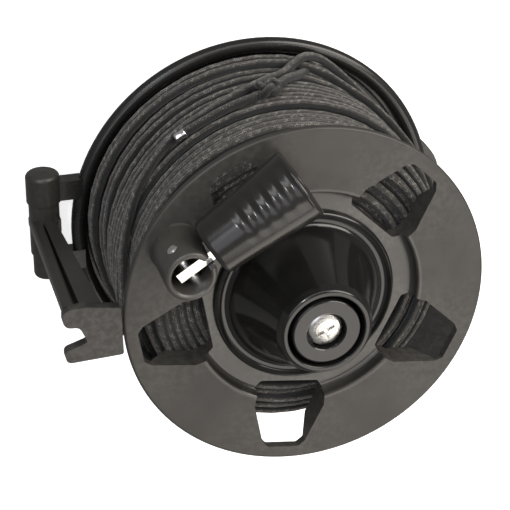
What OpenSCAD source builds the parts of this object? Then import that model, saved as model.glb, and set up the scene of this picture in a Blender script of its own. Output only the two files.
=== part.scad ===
// Hand-crank cord reel with a folding handle, a dished back plate and a hinged side guide.
// Frame: +Z runs along the spool axis from the flat back face towards the crank,
// +X points away from the side guide, and the origin is on the spool axis at the back face.

/* [Spool] */
// Outside diameter of the front flange
flange_d = 120; // [112:1:121]
// Height of the front flange's face above the back face
flange_face_z = 72.8; // [68:0.2:80]
// Thickness of the front flange at its rim
flange_rim_t = 3; // [2.4:0.1:4]
// Depth of the window walls, which is the thickness of the front flange's web
flange_web_t = 9.4; // [8:0.1:9.8]
// Radius of the sunk centre of the front flange
recess_r = 37.5; // [36.5:0.5:38.5]
// Depth of the sunk centre
recess_depth = 4; // [3:0.1:4.5]
// Number of windows in the front flange
window_count = 5; // [3:1:5]
// Direction of the first window, in degrees from +X
window_phase = -98; // [-104:1:-92]
// Radius of the barrel that the cord is wound on
barrel_r = 27; // [26:0.5:29]
// Wall of the barrel
barrel_wall = 2.5; // [2:0.1:3]
// Radius of the rear flange
rear_flange_r = 58.2; // [57:0.1:58.4]

/* [Hub] */
// Radius of the dome at its foot
dome_foot_r = 30; // [29:0.5:31]
// Radius of the dome at its top
dome_top_r = 14.8; // [14.6:0.1:15.2]
// Height of the dome's top above the front flange's face
dome_top_h = 21.7; // [20.8:0.1:23]
// Radius of the retaining cap
cap_r = 11.1; // [10.8:0.1:11.3]
// Radius of the axle
axle_r = 6; // [5.9:0.05:6.1]

/* [Handle] */
// Distance of the handle post from the spool axis
post_reach = 49; // [48:0.5:49.5]
// Direction of the handle post, in degrees from +X
post_angle = 150; // [146:1:156]
// Height of the handle post above the front flange's face
post_h = 20; // [19.6:0.1:20.6]
// Outside radius of the handle post
post_r = 8.2; // [8:0.1:8.3]
// Height of the hinge pin above the front flange's face
hinge_h = 12.8; // [12.6:0.1:13.2]
// Direction in which the folded grip points, in degrees from +X
fold_angle = 33.3; // [30:0.1:36]
// Distance from the hinge pin to the near end of the grip
grip_start = 9.3; // [9.3:0.1:10]
// Length of the grip
grip_len = 34.4; // [30:0.1:35]
// Radius of the grip at its hinge end
grip_small_r = 9.2; // [8.4:0.1:9.4]
// Radius of the grip at its free end
grip_big_r = 11.9; // [11:0.1:12.1]
// Number of grooves round the grip
grip_grooves = 5; // [0:1:6]

/* [Frame] */
// Outside radius of the back plate's rolled rim
rim_r = 64.4; // [63.6:0.1:66]
// Radius of the rolled rim's round section
rim_bead_r = 2.4; // [2:0.1:2.6]
// Height of the middle of the rolled rim
rim_z = 6.6; // [6.2:0.1:7.5]
// Thickness of the back plate's web
web_t = 3.6; // [3:0.1:3.8]

/* [Side guide] */
// Distance of the guide's hinge pin from the spool axis
guide_x = 73.4; // [72.6:0.1:75]
// Height of the guide's hinge pin above the back face
guide_z = 7; // [6.4:0.1:8]
// Radius of the upper hinge boss
boss_r = 5.8; // [5.4:0.1:6]
// Thickness of the fork plate
fork_t = 3.6; // [3:0.1:4]

/* [Cord] */
// Diameter of the braided cord
cord_d = 3; // [2.6:0.1:3.2]
// Radius of the wound cord next to the front flange
cord_front_r = 48; // [44:0.5:49]
// Radius of the wound cord halfway along
cord_mid_r = 56; // [54:0.5:57]
// Radius of the wound cord next to the rear flange
cord_rear_r = 58; // [56:0.5:58.2]

/* [Hidden] */
$fn = 96;
flange_r = flange_d / 2;
web_back_z = flange_face_z - flange_web_t;
recess_z = flange_face_z - recess_depth;
dome_top_z = flange_face_z + dome_top_h;
hinge_z = flange_face_z + hinge_h;
post_top_z = flange_face_z + post_h;
gap = 0.3;
joint_gap = 0.05;

// Rear of the spool
rear_flange_z = web_t + 1;
rear_flange_t = 2.5;
barrel_z = rear_flange_z + rear_flange_t;
barrel_inner_r = barrel_r - barrel_wall;
rear_screw_ring_r = 20.5;
front_screw_ring_r = 17.6;
screw_boss_r = 3.4;
thread_r = 1.5;
hub_r = 11;
hub_bore_r = 8;
hub_top_z = dome_top_z - 12.5;
front_web_z = web_back_z - 6;
web_disc_t = 2.5;

// Axle and what holds the spool on it
axle_foot_r = 12;
axle_foot_t = 2.5;
seat_z = web_t + 4.4;
axle_foot_z = seat_z + axle_foot_t;
bush_flange_r = 10.3;
bush_flange_t = 1.2;
bush_len = 11;
rear_bush_z = axle_foot_z + gap;
drag_z = hub_top_z + bush_flange_t + gap;
drag_t = 1.5;
pressure_t = 1;
spring_h = 1.9;
shoulder_z = drag_z + drag_t + pressure_t + spring_h;
spigot_r = 4;
spigot_h = 2.3;
cap_floor_z = shoulder_z + 2.5;
cap_top_z = dome_top_z - 0.1;
counterbore_r = 6.3;
head_r = 5.75;
dome_bore_r = cap_r + 1.4;

// Windows: half of one outline, as [outwards, sideways] from the spool axis
window_half = [[32.4, 9.8], [34.6, 11.6], [39.6, 12], [53.4, 7.4], [55.5, 5.4]];

// Handle
post_x = post_reach * cos(post_angle);
post_y = post_reach * sin(post_angle);
post_bore_r = 6.2;
post_floor_z = hinge_z - 5.6;
post_flat = 8;
tenon_r = 5;
tenon_h = 4;
pin_r = 1.9;
tang_t = 3.2;
tang_h = 7.2;
tang_back = 3.8;
slot_w = 3.9;
rod_r = 3;
collar_r = 5;
collar_t = 0.8;
grip_end = grip_start + grip_len;
collar_s = grip_start + 2;
recess_s = grip_start + 3.1;
end_recess = 3;
grip_bore_r = rod_r + joint_gap;

// Side guide and hinge
arm_x = -guide_x;
upper_arm_y = 13.6;
upper_arm_h = 10.6;
lower_arm_y = -15;
lower_arm_h = 9;
lower_boss_r = 4.6;
guide_pin_r = 2;
guide_barrel_r = 5.2;
pin_len = upper_arm_y - lower_arm_y + 7;
guide_barrel_y0 = lower_arm_y + lower_arm_h + gap;
guide_barrel_y1 = upper_arm_y - gap;
fork_z = flange_face_z - fork_t;
fork_outline = [[-60.7, 5.9], [-72, 7.7], [-79, 7.2], [-79.2, 1], [-74, 0.7], [-71.5, -4.9],
                [-79, -7.4], [-78.6, -11.8], [-60.2, -10.9]];
fork_corner_r = [0.8, 3, 2.6, 2.6, 2.2, 0.8, 1.9, 1.9, 0.8];
outer_bar = [[-78.6, 3.2], [-74.6, 3], [-74.6, 7.4], [-78.6, 7.3]];

// Inner bar and the web between the bars, as [across, height], with the web's and the bar's depths
inner_bar = [[-74.4, guide_z - 2.5], [-70.8, guide_z - 2.5], [-66.6, fork_z + 0.5], [-73.2, fork_z + 0.5]];
bar_web = [[-77, guide_z + 1], [-72.5, guide_z + 1], [-70, fork_z + 0.5], [-77, fork_z + 0.5]];
bar_back_y = 2.6;
bar_front_y = 7.4;
bar_web_t = 1.2;

// Bridge across the back, and the flat foot along the right side, whose top corner is the lug
foot_x = 59;
foot_y = -54;
foot_r = 15;
lug_x = 53;
lug_y = 5;
lug_r = 16;
bridge_y0 = -11;
bridge_y1 = 21;
lug_t = 5.2;

// The foot's outer part rises as a ramp: its direction, where it starts, its end, sides and slope
ramp_angle = -39;
ramp_u0 = 64;
ramp_u1 = 95.2;
ramp_v0 = -21;
ramp_v1 = 8.5;
ramp_z0 = 4;
ramp_slope = 20;
ramp_corner_r = 6;

// Wound cord: [height, radius] from the rear flange to the front flange
cord_r = cord_d / 2;
pack_shape = [[barrel_z, cord_rear_r], [15, cord_rear_r], [21, cord_mid_r], [42, cord_mid_r - 0.5],
              [52, cord_front_r + 5], [58, cord_front_r + 2.5], [web_back_z, cord_front_r]];
function pack_r(z) = lookup(z, pack_shape);

// The cord's loose end, as [angle, height] on the wound cord, from under the turns to its tip
tail_route = [[70, 12], [76, 18], [83, 26], [90, 33], [96, 37], [103, 38.5], [110, 39.5],
              [117, 40], [123, 39.5]];
knot_angle = 93;
knot_z = 36;
tip_angle = 123;
tip_z = 39.5;

function lifted(p, up) = [(pack_r(p[1]) + up) * cos(p[0]), (pack_r(p[1]) + up) * sin(p[0]), p[1]];

// Points of an arc
function arc(cx, cy, r, a0, a1, n = 8) =
    [for (i = [0 : n]) [cx + r * cos(a0 + (a1 - a0) * i / n), cy + r * sin(a0 + (a1 - a0) * i / n)]];

function unit(v) = v / norm(v);

// Points that round one corner b, which lies between a and c, with radius r
function corner(a, b, c, r, n = 5) =
    let (u = unit(a - b), v = unit(c - b), half = acos(max(-1, min(1, u * v))) / 2,
         m = b + unit(u + v) * r / sin(half), start = b + u * r / tan(half) - m,
         finish = b + v * r / tan(half) - m, s0 = atan2(start[1], start[0]),
         turn = (atan2(finish[1], finish[0]) - s0 + 540) % 360 - 180)
    [for (i = [0 : n]) m + r * [cos(s0 + turn * i / n), sin(s0 + turn * i / n)]];

// An outline with each corner rounded by its own radius
function rounded(points, radii) =
    let (n = len(points))
    [for (i = [0 : n - 1])
        each corner(points[(i + n - 1) % n], points[i], points[(i + 1) % n], radii[i])];

function same(r, n) = [for (i = [0 : n - 1]) r];

module ring(r_out, r_in, h) {
    difference() {
        cylinder(r = r_out, h = h);
        translate([0, 0, -1]) cylinder(r = r_in, h = h + 2);
    }
}

// Lays a shape's +Z along +Y of the frame
module along_y(y0) {
    translate([0, y0, 0]) rotate([-90, 0, 0]) children();
}

// Places a shape so that its origin is on the hinge pin and its +Z follows the folded grip
module on_handle() {
    translate([post_x, post_y, hinge_z]) rotate([0, 0, fold_angle]) rotate([0, 90, 0]) children();
}

// Places a shape so that its +Z follows the hinge pin
module on_hinge_axis() {
    translate([post_x, post_y, hinge_z]) rotate([0, 0, fold_angle]) rotate([90, 0, 0]) children();
}

module around(count, r, phase = 0) {
    for (i = [0 : count - 1]) rotate([0, 0, phase + 360 / count * i]) translate([r, 0, 0]) children();
}

// ---- frame -------------------------------------------------------------------------------

module rim_profile() {
    bead_x = rim_r - rim_bead_r;
    wall_in = rear_flange_r + 1;
    polygon(concat([[wall_in, 0], [wall_in + 2.2, 0]],
                   [[wall_in + 2.2, rim_z - rim_bead_r]],
                   arc(bead_x, rim_z, rim_bead_r, -90, 150, 16),
                   [[wall_in, rim_z + 0.4]]));
}

// The four points where two straight sides meet the foot's rounded ends
function foot_sides() =
    let (a = [lug_x, lug_y], b = [foot_x, foot_y], d = unit(b - a), s = (lug_r - foot_r) / norm(b - a),
         n = [-d[1], d[0]] * sqrt(1 - s * s))
    [a + lug_r * (n + d * s), a + lug_r * (d * s - n), b + foot_r * (d * s - n), b + foot_r * (n + d * s)];

// Solid ramp on the outer part of the foot
module foot_ramp() {
    top_z = ramp_z0 + (ramp_u1 - ramp_u0) * tan(ramp_slope);
    plan = [[ramp_u0 - 6, ramp_v0], [ramp_u1, ramp_v0], [ramp_u1, ramp_v1], [ramp_u0 - 6, ramp_v1]];
    rotate([0, 0, ramp_angle]) intersection() {
        linear_extrude(top_z + 1) polygon(rounded(plan, same(ramp_corner_r, 4)));
        translate([0, ramp_v1 + 1, 0]) rotate([90, 0, 0]) linear_extrude(ramp_v1 - ramp_v0 + 2)
            polygon([[ramp_u0 - 7, 0], [ramp_u1 + 1, 0], [ramp_u1 + 1, top_z - 1], [ramp_u1 - 1.5, top_z],
                     [ramp_u0, ramp_z0], [ramp_u0 - 7, ramp_z0]]);
    }
}

// Boss with a rounded outer end, and the arm that joins it to the rim. dir is the way it points.
module hinge_arm(y0, h, r, dir) {
    translate([arm_x, 0, guide_z]) along_y(dir > 0 ? y0 : y0 + h) mirror([0, 0, dir > 0 ? 0 : 1])
        rotate_extrude() polygon(concat([[0, 0], [r, 0]], arc(r - 1.8, h - 1.8, 1.8, 0, 75, 6),
                                        [[0, h + 0.35]]));
    translate([arm_x, dir > 0 ? y0 : y0 + h - 7, 3.4]) cube([guide_x - rear_flange_r - 2, 7, 5.6]);
}

module back_plate() {
    color([0.10, 0.10, 0.10]) difference() {
        union() {
            rotate_extrude() rim_profile();
            translate([0, 0, 0.8]) cylinder(r = rear_flange_r + 2, h = web_t - 0.8);
            intersection() {
                cylinder(r = rear_flange_r + 2, h = web_t);
                translate([-rim_r, bridge_y0, 0]) cube([2 * rim_r, bridge_y1 - bridge_y0, web_t]);
            }
            cylinder(r = axle_foot_r + 1.5, h = seat_z);
            difference() {
                union() {
                    linear_extrude(lug_t) union() {
                        translate([lug_x, lug_y]) circle(r = lug_r);
                        translate([foot_x, foot_y]) circle(r = foot_r);
                        polygon(foot_sides());
                    }
                    foot_ramp();
                }
                translate([0, 0, -1]) cylinder(r = rear_flange_r + 1.5, h = lug_t + 2);
            }
            hinge_arm(upper_arm_y, upper_arm_h, boss_r, 1);
            hinge_arm(lower_arm_y, lower_arm_h, lower_boss_r, -1);
        }
        translate([0, 0, 2]) cylinder(r = axle_r, h = seat_z);
        around(3, 9, 90) translate([0, 0, 2.2]) cylinder(r = 1.2, h = seat_z);
        translate([arm_x, 0, guide_z]) along_y(lower_arm_y - 1) cylinder(r = guide_pin_r, h = pin_len + 1);
        translate([arm_x, 0, guide_z]) along_y(lower_arm_y - 1) cylinder(r = 3.3, h = 2.4);
    }
}

module axle() {
    color([0.62, 0.63, 0.65]) difference() {
        union() {
            translate([0, 0, 2]) cylinder(r = axle_r, h = shoulder_z - 2);
            translate([0, 0, seat_z]) cylinder(r = axle_foot_r, h = axle_foot_t);
            translate([0, 0, shoulder_z]) cylinder(r = spigot_r, h = spigot_h);
        }
        translate([0, 0, shoulder_z - 16]) cylinder(r = 2.5, h = 20);
        around(3, 9, 90) translate([0, 0, seat_z - 1]) cylinder(r = 1.2, h = axle_foot_t + 2);
        around(3, 9, 90) translate([0, 0, axle_foot_z - 1.2]) cylinder(r1 = 1.2, r2 = 2.41, h = 1.21);
    }
}

module axle_screws() {
    color([0.75, 0.75, 0.77]) around(3, 9, 90) difference() {
        union() {
            translate([0, 0, 2.2]) cylinder(r = 1.2, h = axle_foot_z - 2.2 - 1);
            translate([0, 0, axle_foot_z - 1.2]) cylinder(r1 = 1.2, r2 = 2.3, h = 1.1);
        }
        for (a = [0, 90]) rotate([0, 0, a]) translate([-1.1, -0.25, axle_foot_z - 0.6]) cube([2.2, 0.5, 2]);
    }
}

module guide_pin() {
    color([0.72, 0.73, 0.75]) translate([arm_x, 0, guide_z]) union() {
        along_y(lower_arm_y + 0.2) cylinder(r = 3.2, h = 1.2);
        along_y(lower_arm_y + 1) cylinder(r = guide_pin_r, h = pin_len - 1);
    }
}

module retaining_cap() {
    color([0.09, 0.09, 0.09]) rotate_extrude() polygon(concat(
        [[spigot_r + joint_gap, shoulder_z], [cap_r, shoulder_z]],
        arc(cap_r - 0.6, cap_top_z - 0.6, 0.6, 0, 90, 4),
        [[counterbore_r + 0.3, cap_top_z], [counterbore_r, cap_top_z - 0.3],
         [counterbore_r, cap_floor_z], [spigot_r + joint_gap, cap_floor_z]]));
}

module cap_screw() {
    head_h = 3.1;
    dome_h = 1.5;
    color([0.83, 0.83, 0.85]) difference() {
        union() {
            translate([0, 0, shoulder_z - 14]) cylinder(r = 2.5, h = cap_floor_z - shoulder_z + 14);
            translate([0, 0, cap_floor_z]) rotate_extrude() polygon(concat(
                [[0, 0], [head_r, 0], [head_r, head_h - dome_h]],
                [for (i = [1 : 8]) [head_r * cos(i * 11.25), head_h - dome_h + dome_h * sin(i * 11.25)]]));
        }
        for (a = [0, 90]) rotate([0, 0, a + 25])
            translate([-3.1, -0.55, cap_floor_z + head_h - 2]) cube([6.2, 1.1, 3]);
    }
}

module pressure_washer() {
    color([0.70, 0.71, 0.73]) translate([0, 0, drag_z + drag_t])
        ring(bush_flange_r, axle_r + joint_gap, pressure_t);
}

// Coned spring washer, held nearly flat between the pressure washer and the cap
module drag_spring() {
    z0 = drag_z + drag_t + pressure_t;
    color([0.55, 0.56, 0.58]) rotate_extrude()
        polygon([[axle_r + 0.1, z0 + spring_h - 0.9], [bush_flange_r, z0],
                 [bush_flange_r, z0 + 0.9], [axle_r + 0.1, z0 + spring_h]]);
}

module drag_washer() {
    color([0.42, 0.30, 0.20]) translate([0, 0, drag_z]) ring(bush_flange_r, axle_r + joint_gap, drag_t);
}

// ---- spool -------------------------------------------------------------------------------

function window_outline() = rounded(
    concat([for (p = window_half) p], [for (i = [len(window_half) - 1 : -1 : 0])
        [window_half[i][0], -window_half[i][1]]]), same(1.2, 2 * len(window_half)));

module flange_profile() {
    skin_in = hub_r + 0.3;
    polygon(concat(
        [[skin_in, web_back_z], [flange_r - 11.5, web_back_z],
         [flange_r - 6.2, flange_face_z - flange_rim_t]],
        arc(flange_r - 1.2, flange_face_z - flange_rim_t + 1.2, 1.2, -90, 0, 4),
        arc(flange_r - 0.8, flange_face_z - 0.8, 0.8, 0, 90, 4),
        arc(recess_r + 0.8, flange_face_z - 0.8, 0.8, 90, 180, 4),
        arc(recess_r - 2, recess_z + 2, 2, 0, -90, 5),
        [[skin_in, recess_z]]));
}

module front_flange() {
    color([0.20, 0.195, 0.19]) difference() {
        union() {
            rotate_extrude() flange_profile();
            translate([post_x, post_y, web_back_z]) cylinder(r = 6, h = flange_web_t - 1);
        }
        for (i = [0 : window_count - 1]) rotate([0, 0, window_phase + 360 / window_count * i])
            translate([0, 0, web_back_z - 1]) linear_extrude(flange_web_t + 2) polygon(window_outline());
        around(4, front_screw_ring_r, 45) translate([0, 0, web_back_z - 1])
            cylinder(r = 1.7, h = flange_web_t);
        translate([post_x, post_y, flange_face_z - tenon_h]) cylinder(r = tenon_r, h = tenon_h + 1);
        translate([post_x, post_y, web_back_z - 1]) cylinder(r = 2.1, h = flange_web_t - 2);
        translate([post_x, post_y, web_back_z - 0.01]) cylinder(r1 = 4.02, r2 = 2.1, h = 1.92);
    }
}

module spool_barrel() {
    rear_web_z = rear_bush_z + bush_flange_t;
    color([0.16, 0.16, 0.16]) difference() {
        union() {
            translate([0, 0, barrel_z]) ring(barrel_r, barrel_inner_r, web_back_z - barrel_z);
            translate([0, 0, rear_web_z]) cylinder(r = barrel_inner_r + 1, h = web_disc_t);
            translate([0, 0, front_web_z]) cylinder(r = barrel_inner_r + 1, h = web_disc_t);
            translate([0, 0, rear_web_z]) cylinder(r = hub_r, h = hub_top_z - rear_web_z);
            around(4, rear_screw_ring_r) translate([0, 0, barrel_z])
                cylinder(r = screw_boss_r, h = rear_web_z - barrel_z + 1);
            around(4, front_screw_ring_r, 45) translate([0, 0, front_web_z])
                cylinder(r = screw_boss_r, h = web_back_z - front_web_z);
        }
        translate([0, 0, rear_web_z - 1]) cylinder(r = hub_bore_r, h = bush_len + 1);
        translate([0, 0, rear_web_z + bush_len - 1])
            cylinder(r = axle_r + 1, h = hub_top_z - rear_web_z - 2 * bush_len + 2);
        translate([0, 0, hub_top_z - bush_len]) cylinder(r = hub_bore_r, h = bush_len + 1);
        around(4, rear_screw_ring_r) translate([0, 0, barrel_z - 1]) cylinder(r = thread_r, h = 8);
        around(4, front_screw_ring_r, 45) translate([0, 0, web_back_z - 5]) cylinder(r = thread_r, h = 6);
    }
}

module rear_flange() {
    color([0.13, 0.13, 0.13]) difference() {
        translate([0, 0, rear_flange_z]) rotate_extrude() polygon(concat(
            [[axle_foot_r + 3, 0], [rear_flange_r - 1, 0]],
            arc(rear_flange_r - 1.2, 1.2, 1.2, -90, 90, 8), [[axle_foot_r + 3, rear_flange_t]]));
        around(4, rear_screw_ring_r) translate([0, 0, rear_flange_z - 1]) cylinder(r = 1.7, h = 5);
        around(4, rear_screw_ring_r) translate([0, 0, rear_flange_z - 0.01])
            cylinder(r1 = 3.02, r2 = 1.7, h = 1.32);
    }
}

module hub_dome() {
    wall = 2.6;
    z0 = recess_z;
    foot = dome_foot_r;
    gutter_r = foot - 5.2;
    neck_r = dome_top_r + 0.8;
    color([0.06, 0.06, 0.06]) rotate_extrude() polygon(concat(
        [[foot - 8, z0], [foot, z0]],
        arc(foot - 0.8, z0 + 1.2, 0.8, 0, 90, 4),
        arc(foot - 3.1, z0 + 3, 2.4, -50, -130, 6),
        [for (i = [0 : 10]) let (t = i / 10)
            [gutter_r + (neck_r - gutter_r) * (t + 0.42 * t * (1 - t)),
             z0 + 2 + (dome_top_z - z0 - 4) * t]],
        arc(dome_top_r - 0.9, dome_top_z - 0.9, 0.9, 20, 90, 5),
        [[dome_bore_r + 0.4, dome_top_z], [dome_bore_r, dome_top_z - 0.4],
         [dome_bore_r, hub_top_z + 1], [dome_bore_r + 0.4, hub_top_z - 3],
         [foot - 8 - 4.4, z0 + 8.5], [foot - 8, z0 + 3]]));
}

module flanged_bush(z, up) {
    translate([0, 0, z]) mirror([0, 0, up ? 0 : 1]) difference() {
        union() {
            cylinder(r = bush_flange_r, h = bush_flange_t);
            cylinder(r = hub_bore_r, h = bush_len);
        }
        translate([0, 0, -1]) cylinder(r = axle_r + joint_gap, h = bush_len + 2);
    }
}

module front_bush() {
    color([0.72, 0.55, 0.28]) flanged_bush(hub_top_z + bush_flange_t, false);
}

module rear_bush() {
    color([0.72, 0.55, 0.28]) flanged_bush(rear_bush_z, true);
}

module front_flange_screws() {
    color([0.75, 0.75, 0.77]) around(4, front_screw_ring_r, 45) union() {
        translate([0, 0, web_back_z - 4.6]) cylinder(r = thread_r, h = recess_z - web_back_z + 4.6);
        translate([0, 0, recess_z]) cylinder(r = 2.9, h = 2);
    }
}

module rear_flange_screws() {
    color([0.75, 0.75, 0.77]) around(4, rear_screw_ring_r) difference() {
        union() {
            translate([0, 0, rear_flange_z + 1]) cylinder(r = thread_r, h = 6);
            translate([0, 0, rear_flange_z + 0.1]) cylinder(r1 = 2.8, r2 = thread_r, h = 1.25);
        }
        for (a = [0, 90]) rotate([0, 0, a])
            translate([-1.4, -0.3, rear_flange_z - 1]) cube([2.8, 0.6, 1.8]);
    }
}

module handle_post() {
    edge = 1.2;
    color([0.07, 0.07, 0.07]) difference() {
        intersection() {
            translate([post_x, post_y, 0]) rotate_extrude() polygon(concat(
                [[0, flange_face_z - tenon_h], [tenon_r, flange_face_z - tenon_h],
                 [tenon_r, flange_face_z], [post_r + 0.5, flange_face_z],
                 [post_r + 0.1, flange_face_z + 0.9]],
                arc(post_r - edge, post_top_z - edge, edge, 0, 90, 5),
                [[0, post_top_z]]));
            translate([post_x, post_y, 0]) rotate([0, 0, fold_angle])
                translate([-20, -post_flat, 0]) cube([40, 2 * post_flat, 200]);
        }
        translate([post_x, post_y, post_floor_z]) cylinder(r = post_bore_r, h = 40);
        translate([post_x, post_y, post_top_z - 0.5]) cylinder(r1 = post_bore_r, r2 = post_bore_r + 1, h = 1);
        translate([post_x, post_y, hinge_z - tang_h / 2 - 0.5]) rotate([0, 0, fold_angle])
            translate([0, -slot_w / 2, 0]) cube([20, slot_w, 40]);
        on_hinge_axis() translate([0, 0, -20]) cylinder(r = pin_r, h = 40);
        translate([post_x, post_y, 0]) cylinder(r = 1.6, h = post_floor_z - 1);
    }
}

module post_screw() {
    color([0.75, 0.75, 0.77]) translate([post_x, post_y, 0]) difference() {
        union() {
            translate([0, 0, web_back_z + 1]) cylinder(r = 1.6, h = post_floor_z - 2.4 - web_back_z);
            translate([0, 0, web_back_z + 0.15]) cylinder(r1 = 3.7, r2 = 1.6, h = 2);
        }
        for (a = [0, 90]) rotate([0, 0, a]) translate([-1.8, -0.4, web_back_z - 1]) cube([3.6, 0.8, 2.2]);
    }
}

module hinge_pin() {
    color([0.86, 0.86, 0.88]) on_hinge_axis() rotate_extrude() polygon(concat(
        [[0, -post_flat - 0.3], [pin_r - 0.5, -post_flat - 0.3], [pin_r, -post_flat + 0.1],
         [pin_r, post_flat - 0.1], [pin_r - 0.5, post_flat + 0.3], [0, post_flat + 0.3]]));
}

module wound_cord() {
    color([0.13, 0.13, 0.14]) rotate_extrude() polygon(concat(
        [[barrel_r, web_back_z], [barrel_r, barrel_z]], [for (p = pack_shape) [p[1], p[0]]]));
}

// Round cord swept along a list of points, with flat ends
module swept_cord(points, r, sides = 8) {
    n = len(points);
    function ahead(i) = unit(points[min(i + 1, n - 1)] - points[max(i - 1, 0)]);
    function side(i) = unit(cross(ahead(i), [0, 0, 1]));
    rings = [for (i = [0 : n - 1]) let (t = ahead(i), s = side(i), u = cross(s, t))
        for (k = [0 : sides - 1]) points[i] + r * (cos(360 * k / sides) * s + sin(360 * k / sides) * u)];
    walls = [for (i = [0 : n - 2]) for (k = [0 : sides - 1])
        [i * sides + k, (i + 1) * sides + k, (i + 1) * sides + (k + 1) % sides, i * sides + (k + 1) % sides]];
    polyhedron(rings, concat(walls, [[for (k = [0 : sides - 1]) k],
                                     [for (k = [sides - 1 : -1 : 0]) (n - 1) * sides + k]]));
}

module cord_tail() {
    color([0.13, 0.13, 0.14])
        swept_cord([for (p = tail_route) lifted(p, cord_r + 0.2)], cord_r * 0.97);
}

module cord_knot() {
    color([0.13, 0.13, 0.14]) translate(lifted([knot_angle, knot_z], 3))
        rotate([0, 0, knot_angle + 90]) rotate([0, 90, 0]) rotate_extrude() polygon(
            [[0, -4.6], [1.6, -4.6], [2.7, -3.6], [3.2, -2.2], [3, -0.6], [2.6, 0.4], [2.9, 1.6],
             [3, 2.6], [2.4, 3.8], [1.5, 4.6], [0, 4.6]]);
}

module cord_end() {
    color([0.80, 0.80, 0.80]) translate(lifted([tip_angle, tip_z], cord_r + 0.2))
        rotate([0, 0, tip_angle + 90]) rotate([0, 90, 0]) cylinder(r = cord_r, h = 4);
}

// ---- folding handle ----------------------------------------------------------------------

module handle_shank() {
    color([0.80, 0.80, 0.82]) difference() {
        union() {
            on_handle() translate([-tang_h / 2, -tang_t / 2, -tang_back])
                cube([tang_h, tang_t, collar_s + tang_back]);
            on_handle() translate([0, 0, collar_s]) cylinder(r = rod_r, h = grip_end - 0.9 - collar_s);
            on_handle() translate([0, 0, grip_end - 2]) cylinder(r1 = 4.6, r2 = 3.9, h = 1.2);
        }
        on_hinge_axis() translate([0, 0, -5]) cylinder(r = pin_r + joint_gap, h = 10);
    }
}

module shank_collar() {
    color([0.78, 0.78, 0.80]) on_handle() translate([0, 0, collar_s]) ring(collar_r, rod_r, collar_t);
}

module shank_washer() {
    color([0.78, 0.78, 0.80]) on_handle()
        translate([0, 0, grip_end - end_recess + gap]) ring(5.6, rod_r, 0.7);
}

function groove_dip(s) = let (pitch = 4.6, first = grip_end - 2.8, k = (first - s) / pitch)
    (k < -0.5 || k > grip_grooves - 0.5) ? 0 : 0.12 * (1 + cos(360 * k));

function grip_r(s) = grip_small_r + (grip_big_r - grip_small_r) * (s - grip_start) / grip_len;

module grip() {
    steps = 60;
    s0 = grip_start + 1.2;
    s1 = grip_end - 1.4;
    color([0.06, 0.06, 0.06]) on_handle() rotate_extrude() polygon(concat(
        [[grip_bore_r, recess_s], [6.4, recess_s], [6.4, grip_start]],
        arc(grip_r(grip_start) - 1.2, grip_start + 1.2, 1.2, -90, -6, 4),
        [for (i = [1 : steps - 1]) let (s = s0 + (s1 - s0) * i / steps)
            [grip_r(s) - groove_dip(s), s]],
        arc(grip_r(grip_end) - 1.4, grip_end - 1.4, 1.4, 6, 90, 5),
        [[6.8, grip_end], [6.8, grip_end - end_recess], [grip_bore_r, grip_end - end_recess]]));
}

// ---- side guide --------------------------------------------------------------------------

// A plate that stands across the view along Y, from an outline in X and Z
module upright(outline, y0, y1) {
    translate([0, y1, 0]) rotate([90, 0, 0]) linear_extrude(y1 - y0) polygon(outline);
}

module line_guide() {
    color([0.17, 0.165, 0.16]) difference() {
        union() {
            translate([arm_x, 0, guide_z]) along_y(guide_barrel_y0)
                cylinder(r = guide_barrel_r, h = guide_barrel_y1 - guide_barrel_y0);
            upright(inner_bar, bar_back_y, bar_front_y);
            upright(bar_web, bar_back_y, bar_back_y + bar_web_t);
            translate([0, 0, guide_z - 2.5]) linear_extrude(fork_z - guide_z + 3)
                polygon(rounded(outer_bar, same(1, 4)));
            translate([-77.8, 2.6, guide_z - 2.5]) cube([9.6, 4.6, 5.5]);
            translate([0, 0, fork_z]) linear_extrude(fork_t)
                polygon(rounded(fork_outline, fork_corner_r));
        }
        translate([arm_x, 0, guide_z]) along_y(guide_barrel_y0 - 1)
            cylinder(r = guide_pin_r + joint_gap, h = guide_barrel_y1 - guide_barrel_y0 + 2);
    }
}

back_plate();
axle();
axle_screws();
guide_pin();
retaining_cap();
cap_screw();
pressure_washer();
drag_spring();
drag_washer();
front_flange();
spool_barrel();
rear_flange();
hub_dome();
front_bush();
rear_bush();
front_flange_screws();
rear_flange_screws();
handle_post();
post_screw();
hinge_pin();
wound_cord();
cord_tail();
cord_knot();
cord_end();
handle_shank();
shank_collar();
shank_washer();
grip();
line_guide();
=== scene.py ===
import math

import bpy
from mathutils import Matrix, Vector, noise


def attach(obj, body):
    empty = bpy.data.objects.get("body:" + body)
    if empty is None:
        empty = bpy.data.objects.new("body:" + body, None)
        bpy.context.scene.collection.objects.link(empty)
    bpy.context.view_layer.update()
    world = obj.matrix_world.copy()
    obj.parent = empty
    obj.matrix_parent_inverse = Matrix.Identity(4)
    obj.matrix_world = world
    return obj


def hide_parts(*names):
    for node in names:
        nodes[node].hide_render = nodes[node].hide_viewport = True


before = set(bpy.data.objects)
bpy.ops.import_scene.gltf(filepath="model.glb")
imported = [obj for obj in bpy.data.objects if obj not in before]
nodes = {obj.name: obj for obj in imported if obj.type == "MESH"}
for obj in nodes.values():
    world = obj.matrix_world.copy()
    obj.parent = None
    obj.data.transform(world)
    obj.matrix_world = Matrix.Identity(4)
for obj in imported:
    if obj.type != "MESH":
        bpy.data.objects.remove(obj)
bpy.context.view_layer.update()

MM = 0.001


def mm(*values):
    """A point given in millimetres, in metres."""
    return Vector(values) * MM


# ---- Dimensions of the part that the pieces below repeat, in millimetres --------------------

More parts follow.
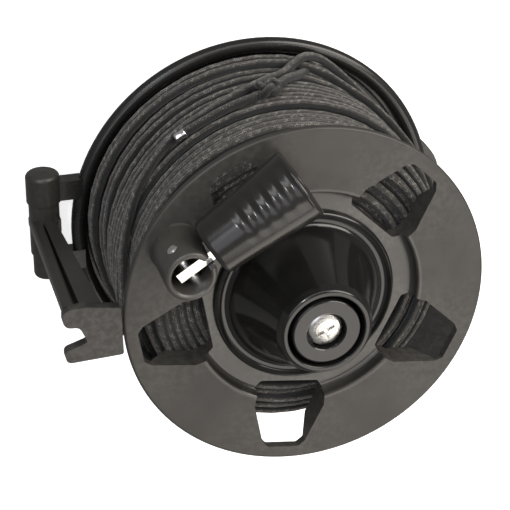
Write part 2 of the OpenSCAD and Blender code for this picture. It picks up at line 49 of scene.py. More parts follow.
WEB_BACK_Z = 63.4      # back of the front flange
RECESS_Z = 68.8        # floor of the flange's sunk centre
DOME_TOP_Z = 94.5
DOME_FOOT_R = 30.0
DOME_TOP_R = 14.8
DOME_BORE_R = 12.5
HUB_TOP_Z = 82.0       # top of the hub, inside the dome
BEAD_R, BEAD_Z = 62.0, 6.6          # middle of the back plate's rolled rim
BEAD_SIZE = 2.4        # radius of that rim's round section
BARREL_R = 27.0
BARREL_Z = 7.1         # front of the rear flange
CORD_D = 3.0
PACK_SHAPE = [(7.1, 58.0), (15.0, 58.0), (21.0, 56.0), (42.0, 55.5), (52.0, 53.0), (58.0, 50.5),
              (63.4, 48.0)]          # (height, radius) of the wound cord
HINGE = mm(-42.435, 24.5, 85.6)     # middle of the handle's hinge pin
FOLD_ANGLE = math.radians(33.3)     # direction of the folded grip from +X
GRIP_START = 9.3       # from the hinge pin
GRIP_END = 43.7
GRIP_SMALL_R, GRIP_BIG_R = 9.2, 11.9

# ---- Camera ----------------------------------------------------------------------------------

CAM_SENSOR = 36.0
CAM_VIEW = math.radians(15.0)       # angle of view
CAM_DISTANCE = 0.6477
CAM_RIGHT = Vector((0.9647, 0.0, 0.2632)).normalized()
CAM_BACK = Vector((-0.2325, 0.4685, 0.8523)).normalized()
CAM_UP = CAM_BACK.cross(CAM_RIGHT).normalized()
CAM_TARGET = mm(-8.29, 0.37, 39.7)

camera_data = bpy.data.cameras.new("camera")
camera_data.sensor_width = CAM_SENSOR
camera_data.lens = CAM_SENSOR / 2 / math.tan(CAM_VIEW / 2)
camera_data.clip_start = 0.01
camera = bpy.data.objects.new("camera", camera_data)
bpy.context.scene.collection.objects.link(camera)
camera.matrix_world = (Matrix.Translation(CAM_TARGET + CAM_BACK * CAM_DISTANCE)
                       @ Matrix((CAM_RIGHT, CAM_UP, CAM_BACK)).transposed().to_4x4())
bpy.context.scene.camera = camera

# ---- Material tools --------------------------------------------------------------------------


class Shade:
    """A material with one Principled shader and short calls for the nodes that feed it."""

    def __init__(self, name):
        self.material = bpy.data.materials.new(name)
        self.material.use_nodes = True
        self.tree = self.material.node_tree
        self.tree.nodes.clear()
        self.out = self.add("ShaderNodeOutputMaterial")
        self.bsdf = self.add("ShaderNodeBsdfPrincipled")
        self.link(self.bsdf.outputs["BSDF"], self.out.inputs["Surface"])
        self.place = self.add("ShaderNodeTexCoord").outputs["Object"]

    def add(self, kind, **settings):
        n = self.tree.nodes.new(kind)
        for k, v in settings.items():
            setattr(n, k, v)
        return n

    def link(self, a, b):
        self.tree.links.new(a, b)

    def put(self, socket, value):
        """Links another node's output to a socket, or sets a constant on the socket itself."""
        if hasattr(value, "node"):
            self.link(value, socket)
        else:
            socket.default_value = value

    def noise(self, size_mm, detail=3.0, rough=0.55):
        """Noise from 0 to 1 whose features are about size_mm across."""
        n = self.add("ShaderNodeTexNoise")
        n.inputs["Scale"].default_value = 1.0 / (size_mm * MM)
        n.inputs["Detail"].default_value = detail
        n.inputs["Roughness"].default_value = rough
        self.link(self.place, n.inputs["Vector"])
        return n.outputs["Fac"]

    def math(self, operation, a, b=0.0, c=0.0):
        n = self.add("ShaderNodeMath", operation=operation)
        for socket, value in zip(n.inputs, (a, b, c)):
            self.put(socket, value)
        return n.outputs[0]

    def span(self, value, a0, a1, b0, b1):
        """Maps value from a0..a1 to b0..b1, held at the ends."""
        n = self.add("ShaderNodeMapRange")
        for socket, v in zip(n.inputs[:5], (value, a0, a1, b0, b1)):
            self.put(socket, v)
        return n.outputs[0]

    def mix(self, share, a, b):
        """Colour a where share is 0 and colour b where it is 1."""
        n = self.add("ShaderNodeMix", data_type="RGBA")
        self.put(n.inputs[0], share)
        self.put(n.inputs[6], a if hasattr(a, "node") else (*a, 1.0))
        self.put(n.inputs[7], b if hasattr(b, "node") else (*b, 1.0))
        return n.outputs[2]

    def bump(self, height, depth_mm, strength=1.0, after=None):
        n = self.add("ShaderNodeBump")
        n.inputs["Strength"].default_value = strength
        n.inputs["Distance"].default_value = depth_mm * MM
        self.link(height, n.inputs["Height"])
        if after is not None:
            self.link(after, n.inputs["Normal"])
        return n.outputs["Normal"]

    def edges(self):
        """0 on flat ground, rising to 1 along outer edges, where handling polishes or greys them."""
        point = self.add("ShaderNodeNewGeometry").outputs["Pointiness"]
        return self.span(point, 0.52, 0.6, 0.0, 1.0)

    def set(self, **sockets):
        """Sets the shader's sockets by name, with _ for a space."""
        for name, value in sockets.items():
            name = name.replace("_", " ")
            if isinstance(value, tuple) and len(value) == 3:
                value = (*value, 1.0)
            self.put(self.bsdf.inputs[name], value)


def moulded(name, dark, light, rough, grain_mm=0.28, grain_depth=0.012, wear=(0.0, 0.0, 0.0),
            wear_share=0.0, wave_mm=14.0, wave_depth=0.03, dish=None, satin_side=None):
    """Injection-moulded plastic: drifting tone, fine spark-eroded grain, flow waviness, worn edges.
    dish is (radius in mm, roughness) of a polished area around the spool axis. satin_side is (X in mm,
    tone, roughness) of a dull area beyond that X on the guide's side."""
    s = Shade(name)
    drift = s.span(s.noise(17.0, 4.0), 0.35, 0.68, 0.0, 1.0)
    fine = s.noise(0.9, 3.0)
    tone = s.mix(s.math("MULTIPLY", s.math("ADD", drift, fine), 0.5), dark, light)
    if wear_share:
        rub = s.math("MULTIPLY", s.edges(), s.span(s.noise(2.2, 4.0), 0.4, 0.62, 0.0, wear_share))
        tone = s.mix(rub, tone, wear)
    smear = s.span(s.noise(6.0, 5.0, 0.7), 0.3, 0.7, -0.5, 0.5)
    if dish:
        dish_r, dish_rough = dish
        flat = s.add("ShaderNodeVectorMath", operation="MULTIPLY")
        s.link(s.place, flat.inputs[0])
        flat.inputs[1].default_value = (1.0, 1.0, 0.0)
        from_axis = s.add("ShaderNodeVectorMath", operation="LENGTH")
        s.link(flat.outputs[0], from_axis.inputs[0])
        rough = s.span(from_axis.outputs["Value"], (dish_r - 0.6) * MM, dish_r * MM, dish_rough, rough)
    if satin_side:
        limit, dull_tone, dull_rough = satin_side
        x_place = s.add("ShaderNodeSeparateXYZ")
        s.link(s.place, x_place.inputs[0])
        dull = s.span(x_place.outputs[0], limit * MM, (limit + 1.5) * MM, 1.0, 0.0)
        tone = s.mix(dull, tone, s.mix(fine, dull_tone, light))
        rough = s.span(dull, 0.0, 1.0, rough, dull_rough)
    s.set(Base_Color=tone, Roughness=s.math("MULTIPLY_ADD", smear, 0.09, rough))
    waves = s.bump(s.noise(wave_mm, 1.0), wave_depth)
    grain = s.bump(s.noise(grain_mm, 2.0), grain_depth, after=waves)
    s.link(grain, s.bsdf.inputs["Normal"])
    return s.material


def metal(name, dark, light, rough, brush_mm=0.25, brush_depth=0.004):
    """Plated or plain metal with fine marks and patches of dulled plating."""
    s = Shade(name)
    patch = s.span(s.noise(2.4, 4.0), 0.38, 0.66, 0.0, 1.0)
    s.set(Base_Color=s.mix(patch, light, dark), Metallic=1.0,
          Roughness=s.span(s.noise(1.1, 3.0), 0.3, 0.7, rough * 0.75, rough * 1.35))
    s.link(s.bump(s.noise(brush_mm), brush_depth), s.bsdf.inputs["Normal"])
    return s.material


def fibre_material():
    """Pressed fibre, mottled and dull."""
    s = Shade("pressed_fibre")
    tone = s.mix(s.noise(0.35, 4.0, 0.7), (0.11, 0.06, 0.03), (0.24, 0.15, 0.08))
    s.set(Base_Color=tone, Roughness=0.85)
    s.link(s.bump(s.noise(0.25, 4.0), 0.05), s.bsdf.inputs["Normal"])
    return s.material


YARNS = 12             # of each of the braid's two sets, round the cord
BRAID_PITCH = 7.2      # the length, in mm, in which a yarn goes once round the cord


def braid_material(name, dark, mid, fleck):
    """Round braid: two sets of yarns that pass over and under each other. U goes round the cord, V runs
    along it in millimetres. Every fourth yarn is a tracer with light flecks. dark is painted shade, put
    in the grooves between yarns and on the sides of turns that face a neighbour."""
    s = Shade(name)
    uv = s.add("ShaderNodeUVMap").outputs["UV"]
    axes = s.add("ShaderNodeSeparateXYZ")
    s.link(uv, axes.inputs[0])
    around = s.math("MULTIPLY", axes.outputs[0], float(YARNS))
    along = s.math("DIVIDE", axes.outputs[1], BRAID_PITCH / YARNS)
    a = s.math("ADD", around, along)
    b = s.math("SUBTRACT", around, along)
    ia, ib = s.math("FLOOR", a), s.math("FLOOR", b)
    parity = s.math("PINGPONG", s.math("ADD", ia, ib), 1.0)

    def hump(x, i):
        """0 at the edges of a yarn and 1 on its ridge."""
        f = s.math("MULTIPLY_ADD", s.math("SUBTRACT", x, i), 2.0, -1.0)
        return s.math("SUBTRACT", 1.0, s.math("MULTIPLY", f, f))

    def both(x, y):
        """x where the first set lies on top, y elsewhere."""
        return s.math("ADD", s.math("MULTIPLY", x, parity),
                      s.math("MULTIPLY", y, s.math("SUBTRACT", 1.0, parity)))

    across = both(hump(a, ia), hump(b, ib))
    lengthwise = both(hump(b, ib), hump(a, ia))
    height = s.math("MULTIPLY", s.math("POWER", s.math("MAXIMUM", across, 0.02), 0.5),
                    s.math("MULTIPLY_ADD", lengthwise, 0.5, 0.5))
    fine = s.noise(0.10, 2.0)
    # painted shade: the low edges of each yarn are darkened to dark, the ridges keep the yarn's mid tone
    tone = s.mix(s.span(height, 0.15, 0.95, 0.0, 1.0), dark, mid)
    yarn = both(s.math("MODULO", s.math("ADD", ia, 800.0), 4.0),
                s.math("MODULO", s.math("ADD", ib, 800.0), 4.0))
    tracer = s.math("MULTIPLY", s.math("LESS_THAN", yarn, 0.5),
                    s.span(s.noise(1.6, 3.0), 0.45, 0.62, 0.15, 1.0))
    tone = s.mix(s.math("MULTIPLY", tracer, s.span(height, 0.3, 0.9, 0.0, 0.9)), tone, fleck)
    dusty = s.span(s.noise(9.0, 3.0), 0.4, 0.7, 0.0, 0.35)
    tone = s.mix(s.math("MULTIPLY", dusty, height), tone, mid)
    # painted shade: where a turn faces its neighbour (outer_side low) the colour goes to dark
    side = s.add("ShaderNodeAttribute", attribute_name="outer_side").outputs["Fac"]
    tone = s.mix(s.span(side, 0.50, 0.95, 0.0, 1.0), dark, tone)
    s.set(Base_Color=tone, Roughness=s.span(fine, 0.3, 0.7, 0.48, 0.72), Specular_IOR_Level=0.45,
          Sheen_Weight=0.25, Sheen_Roughness=0.4)
    yarn_bump = s.bump(height, 0.24, 0.9)
    s.link(s.bump(fine, 0.02, 0.5, after=yarn_bump), s.bsdf.inputs["Normal"])
    return s.material


M = {}
M["flange"] = moulded("satin_flange", (0.028, 0.0258, 0.0228), (0.047, 0.0436, 0.0385), 0.47,
                      wear=(0.10, 0.095, 0.086), wear_share=0.35, dish=(39.2, 0.16))
M["guide"] = moulded("satin_guide", (0.021, 0.0193, 0.0168), (0.034, 0.0312, 0.0272), 0.36,
                     wear=(0.09, 0.085, 0.08), wear_share=0.4)
M["frame"] = moulded("glossy_frame", (0.0085, 0.0082, 0.0078), (0.015, 0.0143, 0.0135), 0.27,
                     grain_mm=0.5, grain_depth=0.0015, wear=(0.05, 0.05, 0.05), wear_share=0.3,
                     wave_depth=0.012, satin_side=(-66.5, (0.042, 0.0385, 0.033), 0.38))
M["gloss"] = moulded("glossy_black", (0.007, 0.0068, 0.0065), (0.012, 0.0115, 0.011), 0.13,
                     grain_mm=0.6, grain_depth=0.001, wear=(0.05, 0.05, 0.05), wear_share=0.2,
                     wave_depth=0.010)
M["grip"] = moulded("semi_gloss_grip", (0.012, 0.0112, 0.0102), (0.021, 0.0196, 0.0178), 0.22,
                    grain_mm=0.5, grain_depth=0.0015, wear=(0.06, 0.058, 0.055), wear_share=0.25,
                    wave_mm=9.0, wave_depth=0.03)
M["post"] = moulded("satin_post", (0.040, 0.0370, 0.0325), (0.062, 0.0575, 0.0505), 0.33,
                    wear=(0.07, 0.067, 0.062), wear_share=0.3)
M["barrel"] = moulded("barrel_plastic", (0.018, 0.018, 0.018), (0.03, 0.03, 0.03), 0.45)
M["steel"] = metal("bright_steel", (0.56, 0.55, 0.54), (0.78, 0.77, 0.75), 0.22)
M["zinc"] = metal("zinc_plate", (0.52, 0.52, 0.51), (0.74, 0.73, 0.71), 0.27)
M["spring"] = metal("spring_steel", (0.22, 0.21, 0.20), (0.36, 0.35, 0.33), 0.35)
M["bronze"] = metal("sintered_bronze", (0.33, 0.22, 0.10), (0.50, 0.36, 0.18), 0.45,
                    brush_mm=0.35, brush_depth=0.02)
M["fibre"] = fibre_material()
# the first colour is near-black painted shade for the grooves between yarns and the sides of turns that
# face a neighbour
M["cord"] = braid_material("braided_cord", (0.003, 0.003, 0.003), (0.046, 0.0415, 0.0350),
                           (0.46, 0.43, 0.385))
M["tip"] = metal("crimped_tip", (0.70, 0.69, 0.67), (0.92, 0.91, 0.89), 0.22, brush_mm=0.4,
                 brush_depth=0.01)

NODE_MATERIAL = {
    "back_plate": "frame", "axle": "steel", "axle_screws": "zinc", "guide_pin": "zinc",
    "retaining_cap": "gloss", "cap_screw": "zinc", "pressure_washer": "steel",
    "drag_spring": "spring", "drag_washer": "fibre", "front_flange": "flange",
    "spool_barrel": "barrel", "rear_flange": "frame", "hub_dome": "gloss", "front_bush": "bronze",
    "rear_bush": "bronze", "front_flange_screws": "zinc", "rear_flange_screws": "zinc",
    "handle_post": "post", "post_screw": "zinc", "hinge_pin": "zinc", "wound_cord": "cord",
    "cord_tail": "cord", "cord_knot": "cord", "cord_end": "tip", "handle_shank": "steel",
    "shank_collar": "zinc", "shank_washer": "zinc", "grip": "grip", "line_guide": "guide",
}
for node, material in NODE_MATERIAL.items():
    for material_slot in nodes[node].material_slots:
        material_slot.material = M[material]


# ---- Mesh tools ------------------------------------------------------------------------------


def new_piece(name, mesh, material, body, replaced):
    """A piece that rides on a body and stands for the CAD nodes in replaced."""
    piece = bpy.data.objects.new(name, mesh)
    bpy.context.scene.collection.objects.link(piece)
    mesh.materials.append(M[material])
    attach(piece, body)
    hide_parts(*replaced)
    return piece


def arc(x, y, r, a0, a1, steps=8):
    """Points of an arc, with angles in degrees."""
    angles = [math.radians(a0 + (a1 - a0) * i / steps) for i in range(steps + 1)]
    return [(x + r * math.cos(a), y + r * math.sin(a)) for a in angles]


SHARP_ANGLE = math.radians(38)      # edges sharper than this are shaded as edges


def lathe(name, outline, segments, place=Matrix(), push=None):
    """A turned piece from a closed outline of (radius, height) in mm. push(turn, radius, height) moves
    the surface in or out by the millimetres it returns."""
    vertices, faces = [], []
    n = len(outline)
    for k in range(segments):
        angle = 2 * math.pi * k / segments
        for r, h in outline:
            r += push(angle, r, h) if push else 0.0
            vertices.append(place @ mm(r * math.cos(angle), r * math.sin(angle), h))
    for k in range(segments):
        k1 = (k + 1) % segments
        for i in range(n):
            i1 = (i + 1) % n
            faces.append((k * n + i, k1 * n + i, k1 * n + i1, k * n + i1))
    mesh = bpy.data.meshes.new(name)
    mesh.from_pydata([tuple(v) for v in vertices], [], faces)
    mesh.shade_smooth()
    mesh.set_sharp_from_angle(angle=SHARP_ANGLE)
    return mesh


def lookup(table, x):
    """Straight-line value of a table of (x, y) at x, held at the ends."""
    if x <= table[0][0]:
        return table[0][1]
    for (x0, y0), (x1, y1) in zip(table, table[1:]):
        if x <= x1:
            return y0 + (y1 - y0) * (x - x0) / (x1 - x0)
    return table[-1][1]


# (height, how far the free side of a turn leans forwards), as the front of the winding slopes
FRONT_FREE = [(42.0, 0.1), (52.0, 0.7), (60.0, 1.6)]


def tube(name, points, radius, sides, closed_ends=True):
    """A round cord swept along points in metres. UV: round the cord, and millimetres along it.
    outer_side is 1 where the surface faces out of the winding and 0 where it faces a neighbour; the
    cord's material paints shade where it is low."""
    n = len(points)
    ahead = [(points[min(i + 1, n - 1)] - points[max(i - 1, 0)]).normalized() for i in range(n)]
    side = ahead[0].cross(Vector((0, 0, 1))).normalized()
    vertices, outer, lengths, run = [], [], [], 0.0
    for i, (p, t) in enumerate(zip(points, ahead)):
        side = (side - t * side.dot(t)).normalized()
        up = t.cross(side)
        free = Vector((p.x, p.y, 0)).normalized()
        free = (free + Vector((0, 0, lookup(FRONT_FREE, p.z / MM)))).normalized()
        if i:
            run += (p - points[i - 1]).length / MM
        lengths.append(run)
        for k in range(sides):
            angle = 2 * math.pi * k / sides
            out = side * math.cos(angle) + up * math.sin(angle)
            vertices.append(p + out * radius)
            outer.append(max(0.0, out.dot(free)))
    faces, coords = [], []
    for i in range(n - 1):
        for k in range(sides):
            k1 = (k + 1) % sides
            faces.append((i * sides + k, i * sides + k1, (i + 1) * sides + k1, (i + 1) * sides + k))
            coords += [(k / sides, lengths[i]), ((k + 1) / sides, lengths[i]),
                       ((k + 1) / sides, lengths[i + 1]), (k / sides, lengths[i + 1])]
    if closed_ends:
        for ring, order in ((0, range(sides - 1, -1, -1)), (n - 1, range(sides))):
            faces.append(tuple(ring * sides + k for k in order))
            coords += [(0.5, lengths[ring])] * sides
    mesh = bpy.data.meshes.new(name)
    mesh.from_pydata([tuple(v) for v in vertices], [], faces)
    mesh.attributes.new("outer_side", "FLOAT", "POINT").data.foreach_set("value", outer)
    layer = mesh.uv_layers.new(name="UVMap")
    layer.data.foreach_set("uv", [x for c in coords for x in c])
    mesh.shade_smooth()
    mesh.validate()
    return mesh


# ---- Wound cord ------------------------------------------------------------------------------


def pack_r(z):
    """Radius of the wound cord at a height."""
    return lookup(PACK_SHAPE, z)


STEPS_PER_TURN = 44
PITCH = 3.03           # from one turn to the next in a layer
LOOSE_PITCH = 3.35     # in the outer layers, which are wound less evenly
LAYER_STEP = 2.545     # each layer settles into the grooves of the one below
CROSSING_STEP = 3.0    # how fast, in mm a step, the cord crosses back to where a narrower layer starts
FIRST_LAYER_R = BARREL_R + CORD_D / 2 + 0.05
LAYERS = 12
OUTER_LAYERS = 3
BEAD_CLEAR = BEAD_SIZE + CORD_D / 2 + 0.35
# Where the winding isn't round: its slack rear, the valley next to the rim and a slack front, each as
# [(height, extra radius)], middle and half width in degrees
UNEVEN_SIDES = [
    ([(7.0, 1.4), (12.0, 2.7), (16.0, 2.5), (19.0, 1.4), (22.5, 0.0)], 122.0, 62.0),
    ([(7.0, -4.2), (13.0, -3.8), (18.0, -1.2), (22.0, 0.0)], 22.0, 42.0),
    ([(26.0, 0.0), (36.0, 2.2), (44.0, 3.6), (54.0, 3.8), (61.0, 2.0)], 238.0, 52.0),
]
SLACK_FROM_R, SLACK_FULL_R = 45.0, 56.0     # the unevenness grows from nothing to full between these


def slack(angle, z, r):
    """Radius of a turn once its slack sides have sagged outwards and its tight side has pulled in,
    clear of the back plate's rim."""
    depth = min(1.0, max(0.0, (r - SLACK_FROM_R) / (SLACK_FULL_R - SLACK_FROM_R)))
    for profile, middle, half in UNEVEN_SIDES:
        away = abs((math.degrees(angle) - middle + 180) % 360 - 180)
        r += lookup(profile, z) * math.exp(-(away / half) ** 6) * depth
    drop = abs(z - BEAD_Z)
    if drop < BEAD_CLEAR:
        r = min(r, BEAD_R - math.sqrt(BEAD_CLEAR ** 2 - drop ** 2))
    return r


def smooth_route(route, steps):
    """Points on a Catmull-Rom curve through a list of tuples, steps to a stretch."""
    ends = [tuple(2 * a - b for a, b in zip(route[0], route[1]))] + list(route)
    ends.append(tuple(2 * a - b for a, b in zip(route[-1], route[-2])))
    out = []
    for p0, p1, p2, p3 in zip(ends, ends[1:], ends[2:], ends[3:]):
        for i in range(steps):
            t = i / steps
            out.append(tuple(0.5 * (2 * b + (c - a) * t + (2 * a - 5 * b + 4 * c - d) * t * t
                                    + (3 * b - a - 3 * c + d) * t ** 3)
                             for a, b, c, d in zip(p0, p1, p2, p3)))
    return out + [tuple(route[-1])]


# The last turn, as (angle, height, how far its middle lies outside the pack): it carries on from the
# rear of the last layer, passes the knot and settles between the front turns
LAST_TURN = [(9, 8.9, -1.5), (22, 9.6, -0.5), (36, 10.3, 0.9), (52, 10.8, 1.5), (64, 11, 1.5),
             (71, 12.8, 1.5), (77, 16.4, 1.5), (84, 22, 1.5), (92, 27, 1.5), (100, 31, 1.5),
             (108, 34, 1.5), (117, 35.8, 1.5), (127, 36.6, 1.5), (140, 40, 1.5), (158, 45, 1.5),
             (176, 49, 1.4), (196, 52, 1.2), (216, 54, -0.4), (232, 55, -1.6)]


def winding_points():
    """The whole cord, layer on layer, from the barrel to the outside of the pack."""
    points = []
    step = 2 * math.pi / STEPS_PER_TURN
    angle = z_last = 0.0
    for layer in range(LAYERS):
        r = FIRST_LAYER_R + LAYER_STEP * layer
        loose = max(0, layer - (LAYERS - 1 - OUTER_LAYERS)) / OUTER_LAYERS
        z_low, z_high = BARREL_Z + CORD_D / 2 + 0.05, WEB_BACK_Z - CORD_D / 2 - 0.1
        while z_high > z_low and pack_r(z_high) < r + CORD_D / 2 - 0.25:
            z_high -= 0.25
        pitch = LOOSE_PITCH if loose else PITCH
        turns = max(1, round((z_high - z_low) / pitch))
        z_start = z_high if layer % 2 else z_low
        crossing = round(abs(z_start - z_last) / CROSSING_STEP) if points else 0
        for i in range(crossing):
            t = i / crossing
            z = z_last + (z_start - z_last) * t * t * (3 - 2 * t)
            rr = slack(angle, z, r)
            points.append(mm(rr * math.cos(angle), rr * math.sin(angle), z))
            angle += step
        z_last = z_low if layer % 2 else z_high
        count = turns * STEPS_PER_TURN - crossing
        for i in range(count):
            t = i / count
            z = z_low + (z_high - z_low) * (t if layer % 2 == 0 else 1 - t)
            c, s = math.cos(angle), math.sin(angle)
            edge = max(0.0, min(1.0, (z - z_low) / 5.0, (z_high - z) / 5.0))
            uneven = noise.noise(Vector((z * 0.21, layer * 7.3, 0.0)))
            wander = noise.noise(Vector((z * 0.10, c * 0.8 + layer * 3.1, s * 0.8)))
            lean = math.cos(angle - math.radians(150)) * (1 if layer % 2 else -1)
            zz = z + edge * ((0.4 + 0.5 * loose) * uneven + (0.5 + 0.7 * loose) * wander
                             + 1.2 * loose * lean)
            lift = noise.noise(Vector((z * 0.30, c * 1.2 + layer * 5.7, s * 1.2 + 9.0)))
            rr = slack(angle, zz, r + (0.25 + 0.35 * loose) * lift)
            points.append(mm(rr * c, rr * s, zz))
            angle += step
    lap = 360 * math.ceil((math.degrees(angle) - LAST_TURN[0][0]) / 360)
    for a, z, up in smooth_route([(a + lap, z, up) for a, z, up in LAST_TURN], 6):
        a = math.radians(a)
        r = slack(a, z, pack_r(z)) + up
        points.append(mm(r * math.cos(a), r * math.sin(a), z))
    return points


wound_points = winding_points()
wound_length = sum((b - a).length for a, b in zip(wound_points, wound_points[1:]))
print(f"wound cord: {wound_length:.2f} m in the turns")
new_piece("wound_cord_turns", tube("wound_cord_turns", wound_points, CORD_D / 2 * MM, 10),
          "cord", "spool", ["wound_cord"])

# ---- Loose end, its knot and its metal tip ----------------------------------------------------

TAIL_ROUTE = [(70, 12), (76, 18), (83, 26), (90, 33), (96, 37), (103, 38.5), (110, 39.5), (117, 40),
              (123, 39.5)]             # (angle, height) on the wound cord
TAIL_UP = CORD_D / 2 + 0.2
TAIL_BURIED = [-1.6, -0.6]     # how far out its first points lie, as it comes up between turns
KNOT_ANGLE, KNOT_Z, KNOT_UP = 93.0, 36.0, 3.0
KNOT_SLOPE = 38        # how steeply the cord climbs through the knot, in degrees
KNOT_CORD_R = 1.35     # the cord is squeezed thinner there
KNOT_SIZE = (1.30, 1.05, 1.25)      # scale along the cord, across it and outwards
KNOT_STEPS = 90
TIP_LEN = 4.0


def on_pack(angle, z, up):
    """A point that lies up mm outside the wound cord."""
    a = math.radians(angle)
    r = pack_r(z) + up
    return mm(r * math.cos(a), r * math.sin(a), z)


tail_ups = TAIL_BURIED + [TAIL_UP] * (len(TAIL_ROUTE) - len(TAIL_BURIED))
tail_points = [on_pack(a, z, up) for a, z, up
               in smooth_route([(a, z, up) for (a, z), up in zip(TAIL_ROUTE, tail_ups)], 5)]
tail = new_piece("loose_end", tube("loose_end", tail_points, CORD_D / 2 * MM, 12), "cord", "spool",
                 ["cord_tail"])


def lying_along(angle, z, up, slope):
    """A place on the pack: X along the cord's run, Z outwards. slope turns X towards +Z, in degrees."""
    a = math.radians(angle)
    outwards = Vector((math.cos(a), math.sin(a), 0))
    round_pack = Vector((-math.sin(a), math.cos(a), 0))
    along = (round_pack * math.cos(math.radians(slope))
             + Vector((0, 0, 1)) * math.sin(math.radians(slope))).normalized()
    basis = Matrix((along, outwards.cross(along), outwards)).transposed().to_4x4()
    return Matrix.Translation(on_pack(angle, z, up)) @ basis


def knot_points():
    """An overhand knot pulled tight, drawn out along the cord."""
    place = lying_along(KNOT_ANGLE, KNOT_Z, KNOT_UP, KNOT_SLOPE)
    along, across, outwards = KNOT_SIZE
    points = []
    for i in range(KNOT_STEPS + 1):
        t = 2 * math.pi * i / KNOT_STEPS
        x = math.sin(t) + 2 * math.sin(2 * t)
        y = math.cos(t) - 2 * math.cos(2 * t)
        points.append(place @ mm(along * x, across * y, -outwards * math.sin(3 * t)))
    return points


knot = new_piece("tight_knot", tube("tight_knot", knot_points(), KNOT_CORD_R * MM, 12, closed_ends=False),
                 "cord", "spool", ["cord_knot"])


def tip_mesh():
    """The metal tip that carries on from the cord's end, with one crimped groove."""
    r = CORD_D / 2
    outline = ([(0.02, 0), (r - 0.25, 0)] + arc(r - 0.2, 0.35, 0.35, -70, 20, 4)
               + [(r + 0.12, 1.1), (r - 0.02, 1.5), (r - 0.02, 2.1), (r + 0.12, 2.5), (r + 0.1, 3.4)]
               + arc(r - 0.5, TIP_LEN - 0.55, 0.55, 0, 80, 5) + [(0.02, TIP_LEN)])
    ahead = (tail_points[-1] - tail_points[-2]).normalized()
    turn_to = ahead.to_track_quat("Z", "Y").to_matrix().to_4x4()
    return lathe("metal_tip", outline, 32, Matrix.Translation(tail_points[-1]) @ turn_to)


tip = new_piece("metal_tip", tip_mesh(), "tip", "spool", ["cord_end"])

# ---- Dome and grip with their rounded edges --------------------------------------------------


FLANK_HOLLOW = 0.42    # how strongly the dome's flank curves in from a straight cone


def dome_outline():
    """From the rounded foot ring and its gutter up the flank, over the lip, down the bore and back
    along the inside."""
    z0, foot = RECESS_Z, DOME_FOOT_R
    gutter_r, neck_r = foot - 5.2, DOME_TOP_R + 0.8
    flank = [(gutter_r + (neck_r - gutter_r) * (t + FLANK_HOLLOW * t * (1 - t)),
              z0 + 2 + (DOME_TOP_Z - z0 - 4) * t) for t in [i / 28 for i in range(29)]]
    return ([(foot - 8, z0), (foot, z0)] + arc(foot - 1.1, z0 + 1.0, 1.1, 0, 80, 8)
            + arc(foot - 3.2, z0 + 3.2, 2.4, -48, -132, 10) + flank
            + arc(DOME_TOP_R - 1.1, DOME_TOP_Z - 1.1, 1.1, 14, 90, 8)
            + arc(DOME_BORE_R + 0.5, DOME_TOP_Z - 0.5, 0.5, 90, 180, 4)
            + [(DOME_BORE_R, HUB_TOP_Z + 1), (DOME_BORE_R + 0.4, HUB_TOP_Z - 3),
               (foot - 12.4, z0 + 8.5), (foot - 8, z0 + 3)])


new_piece("dome_shell", lathe("dome_shell", dome_outline(), 160), "gloss", "spool",
          ["hub_dome"])

GROOVES = 5
GROOVE_PITCH = 4.6
GROOVE_DEPTH = 0.55
DENTS_AT = math.radians(138)       # the turned shape's own angle at the middle of one dented side
HANDLE_TURN = Matrix.Rotation(FOLD_ANGLE, 4, "Z") @ Matrix.Rotation(math.pi / 2, 4, "Y")
HANDLE = Matrix.Translation(HINGE) @ HANDLE_TURN


def grip_outline():
    """A tapered grip, widest at its free end, with a recess in each end."""
    slope = (GRIP_BIG_R - GRIP_SMALL_R) / (GRIP_END - GRIP_START)
    flank = [(GRIP_SMALL_R + slope * (s - GRIP_START), s)
             for s in [GRIP_START + 1.3 + (GRIP_END - GRIP_START - 2.8) * i / 90 for i in range(91)]]
    return ([(3.1, GRIP_START + 3.1), (6.0, GRIP_START + 3.1), (6.4, GRIP_START + 2.7)]
            + arc(6.9, GRIP_START + 0.5, 0.5, 180, 270, 4)
            + arc(GRIP_SMALL_R - 1.2, GRIP_START + 1.2, 1.2, -90, -5, 7) + flank
            + arc(GRIP_BIG_R - 1.4, GRIP_END - 1.4, 1.4, 5, 90, 8)
            + arc(7.3, GRIP_END - 0.5, 0.5, 90, 180, 4)
            + [(6.8, GRIP_END - 2.6), (6.4, GRIP_END - 3.0), (3.1, GRIP_END - 3.0)])


def finger_dents(turn, r, s):
    """Shallow dents for the fingers, deepest along two opposite sides of the grip."""
    if r < GRIP_SMALL_R - 0.4:
        return 0.0
    k = (GRIP_END - 2.8 - s) / GROOVE_PITCH
    if k < -0.5 or k > GROOVES - 0.5:
        return 0.0
    return -GROOVE_DEPTH * (0.5 + 0.5 * math.cos(2 * math.pi * k)) * math.cos(turn - DENTS_AT) ** 8


new_piece("grip_shell", lathe("grip_shell", grip_outline(), 144, HANDLE, finger_dents), "grip",
          "grip", ["grip"])

# ---- Floor and light ------------------------------------------------------------------------


FLOOR_HALF = 6.0


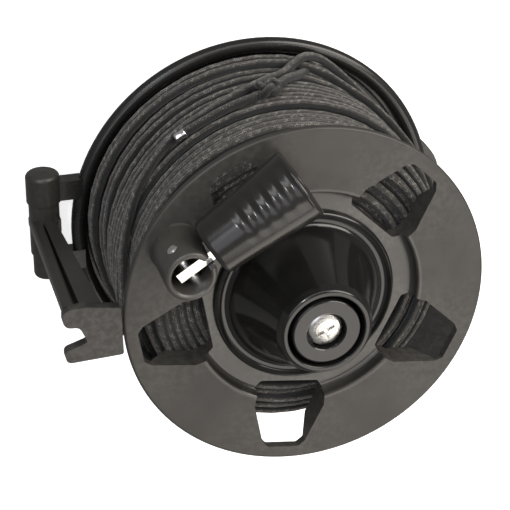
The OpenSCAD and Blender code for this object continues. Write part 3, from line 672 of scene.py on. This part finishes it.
def floor():
    """A pale translucent table, lit from below as well, so that shadows on it stay faint."""
    mesh = bpy.data.meshes.new("floor")
    corners = [(-1, -1), (1, -1), (1, 1), (-1, 1)]
    mesh.from_pydata([(x * FLOOR_HALF, y * FLOOR_HALF, 0) for x, y in corners], [], [(0, 1, 2, 3)])
    piece = bpy.data.objects.new("floor", mesh)
    bpy.context.scene.collection.objects.link(piece)
    s = Shade("pale_floor")
    tone = s.mix(s.noise(60.0, 2.0), (0.80, 0.80, 0.80), (0.83, 0.83, 0.83))
    s.set(Base_Color=tone, Roughness=0.9, Specular_IOR_Level=0.1, Emission_Color=(1.0, 1.0, 1.0),
          Emission_Strength=0.75)
    mesh.materials.append(s.material)
    piece.visible_diffuse = False
    piece.visible_glossy = False


floor()


LIGHT_AIM = mm(0, 0, 60)


def softbox(name, azimuth, elevation, distance, size, radiance, tint=(1.0, 1.0, 1.0), height=None):
    """A light aimed at the reel, square unless it has a height. Angles in degrees from +X and from the
    floor, sizes in metres."""
    data = bpy.data.lights.new(name, "AREA")
    data.shape = "RECTANGLE"
    data.size, data.size_y = size, height or size
    data.energy = radiance * math.pi * data.size * data.size_y
    data.color = tint
    lamp = bpy.data.objects.new(name, data)
    bpy.context.scene.collection.objects.link(lamp)
    a, e = math.radians(azimuth), math.radians(elevation)
    towards = Vector((math.cos(a) * math.cos(e), math.sin(a) * math.cos(e), math.sin(e)))
    lamp.matrix_world = (Matrix.Translation(LIGHT_AIM + towards * distance)
                         @ towards.to_track_quat("Z", "Y").to_matrix().to_4x4())


softbox("key", -44, 56, 1.0, 0.70, 2.6, (1.0, 0.94, 0.87))
softbox("front_low", -66, 14, 1.1, 0.60, 1.7, (1.0, 0.92, 0.83))
softbox("cool_back", 146, 60, 1.0, 0.66, 1.5, (0.87, 0.90, 1.0))
softbox("spark", 126, 46, 1.3, 0.15, 46.0, (0.95, 0.97, 1.0))
softbox("rear_band", 100, 29, 1.3, 1.6, 3.6, (0.95, 0.96, 1.0), height=0.30)
softbox("side", 42, 32, 1.2, 0.80, 6.6, (1.0, 0.95, 0.89))

world = bpy.data.worlds.new("studio")
world.use_nodes = True
background = world.node_tree.nodes["Background"]
background.inputs["Color"].default_value = (1.0, 0.97, 0.94, 1.0)
background.inputs["Strength"].default_value = 0.25
bpy.context.scene.world = world
bpy.context.scene.view_settings.view_transform = "Standard"
